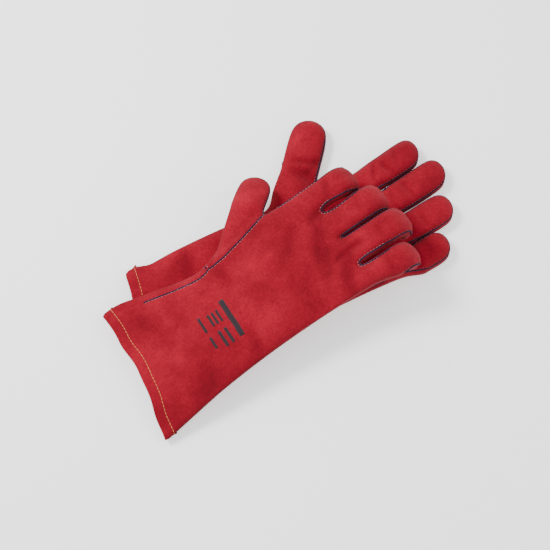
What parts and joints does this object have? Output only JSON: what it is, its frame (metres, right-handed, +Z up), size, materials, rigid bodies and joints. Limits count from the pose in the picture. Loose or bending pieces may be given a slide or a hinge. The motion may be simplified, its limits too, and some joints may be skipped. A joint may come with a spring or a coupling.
{
  "type": "welding gloves",
  "caption": "Pair of split-leather gauntlet gloves with long cuffs, welted seams and cotton lining; the right lies on the left, palms together.",
  "frame": {"origin": "on the floor under the centre of the box that holds the pair", "axes": "+Z up, +X from the hems to the fingertips, +Y towards the thumbs"},
  "size_m": [0.3972, 0.2366, 0.0688],
  "materials": {
    "red_split_leather": "suede",
    "welt": "matte",
    "cotton_lining": "brushed"
  },
  "bodies": {
    "left_hand": {"left_back_panel": "red_split_leather", "left_palm_panel": "red_split_leather", "left_cuff_palm_panel": "red_split_leather", "left_cuff_hem": "red_split_leather", "left_wrist_welt": "welt", "left_lining_cuff": "cotton_lining", "left_lining_hand": "cotton_lining", "left_little_side_welt": "welt", "left_ring_little_fourchette": "red_split_leather", "left_middle_ring_fourchette": "red_split_leather", "left_index_middle_fourchette": "red_split_leather", "left_thumb_crotch_welt": "welt", "left_thumb_side_welt": "welt"},
    "left_index": {"left_index_back": "red_split_leather", "left_index_palm": "red_split_leather", "left_index_sides": "red_split_leather"},
    "left_middle": {"left_middle_back": "red_split_leather", "left_middle_palm": "red_split_leather", "left_middle_sides": "red_split_leather"},
    "left_ring": {"left_ring_back": "red_split_leather", "left_ring_palm": "red_split_leather", "left_ring_sides": "red_split_leather"},
    "left_little": {"left_little_back": "red_split_leather", "left_little_palm": "red_split_leather", "left_little_sides": "red_split_leather"},
    "left_thumb": {"left_thumb_back": "red_split_leather", "left_thumb_palm": "red_split_leather", "left_thumb_sides": "red_split_leather"},
    "right_hand": {"right_back_panel": "red_split_leather", "right_palm_panel": "red_split_leather", "right_cuff_palm_panel": "red_split_leather", "right_cuff_hem": "red_split_leather", "right_wrist_welt": "welt", "right_lining_cuff": "cotton_lining", "right_lining_hand": "cotton_lining", "right_little_side_welt": "welt", "right_ring_little_fourchette": "red_split_leather", "right_middle_ring_fourchette": "red_split_leather", "right_index_middle_fourchette": "red_split_leather", "right_thumb_crotch_welt": "welt", "right_thumb_side_welt": "welt"},
    "right_index": {"right_index_back": "red_split_leather", "right_index_palm": "red_split_leather", "right_index_sides": "red_split_leather"},
    "right_middle": {"right_middle_back": "red_split_leather", "right_middle_palm": "red_split_leather", "right_middle_sides": "red_split_leather"},
    "right_ring": {"right_ring_back": "red_split_leather", "right_ring_palm": "red_split_leather", "right_ring_sides": "red_split_leather"},
    "right_little": {"right_little_back": "red_split_leather", "right_little_palm": "red_split_leather", "right_little_sides": "red_split_leather"},
    "right_thumb": {"right_thumb_back": "red_split_leather", "right_thumb_palm": "red_split_leather", "right_thumb_sides": "red_split_leather"}
  },
  "joints": [
    {"name": "right_glove_lift", "type": "slide", "parent": "left_hand", "child": "right_hand", "axis": [0, 0, 1], "range_m": [0, 0.15]},
    {"name": "left_index_bend", "type": "hinge", "parent": "left_hand", "child": "left_index", "pos_m": [0.14023, 0.02853, 0.01976], "axis": [-0.0349, -0.9994, 0], "range_deg": [0, 75]},
    {"name": "left_middle_bend", "type": "hinge", "parent": "left_hand", "child": "left_middle", "pos_m": [0.14702, -0.00623, 0.0199], "axis": [-0.0349, -0.9994, 0], "range_deg": [0, 75]},
    {"name": "left_ring_bend", "type": "hinge", "parent": "left_hand", "child": "left_ring", "pos_m": [0.13782, -0.04043, 0.01976], "axis": [-0.0349, -0.9994, 0], "range_deg": [0, 75]},
    {"name": "left_little_bend", "type": "hinge", "parent": "left_hand", "child": "left_little", "pos_m": [0.12562, -0.07453, 0.01956], "axis": [-0.0349, -0.9994, 0], "range_deg": [0, 75]},
    {"name": "left_thumb_bend", "type": "hinge", "parent": "left_hand", "child": "left_thumb", "pos_m": [0.05854, 0.0635, 0.01826], "axis": [0.7431, -0.6691, 0], "range_deg": [0, 45]},
    {"name": "right_index_bend", "type": "hinge", "parent": "right_hand", "child": "right_index", "pos_m": [0.09344, 0.02645, 0.06185], "axis": [0.061, -0.9981, 0], "range_deg": [0, 75]},
    {"name": "right_middle_bend", "type": "hinge", "parent": "right_hand", "child": "right_middle", "pos_m": [0.10856, -0.00719, 0.06372], "axis": [0.061, -0.9981, 0], "range_deg": [0, 75]},
    {"name": "right_ring_bend", "type": "hinge", "parent": "right_hand", "child": "right_ring", "pos_m": [0.11667, -0.04126, 0.06459], "axis": [0.061, -0.9981, 0], "range_deg": [0, 75]},
    {"name": "right_little_bend", "type": "hinge", "parent": "right_hand", "child": "right_little", "pos_m": [0.10677, -0.07643, 0.06286], "axis": [0.061, -0.9981, 0], "range_deg": [0, 75]},
    {"name": "right_thumb_bend", "type": "hinge", "parent": "right_hand", "child": "right_thumb", "pos_m": [-0.00936, 0.05515, 0.05257], "axis": [0.7179, -0.6888, 0.1008], "range_deg": [0, 35]}
  ]
}
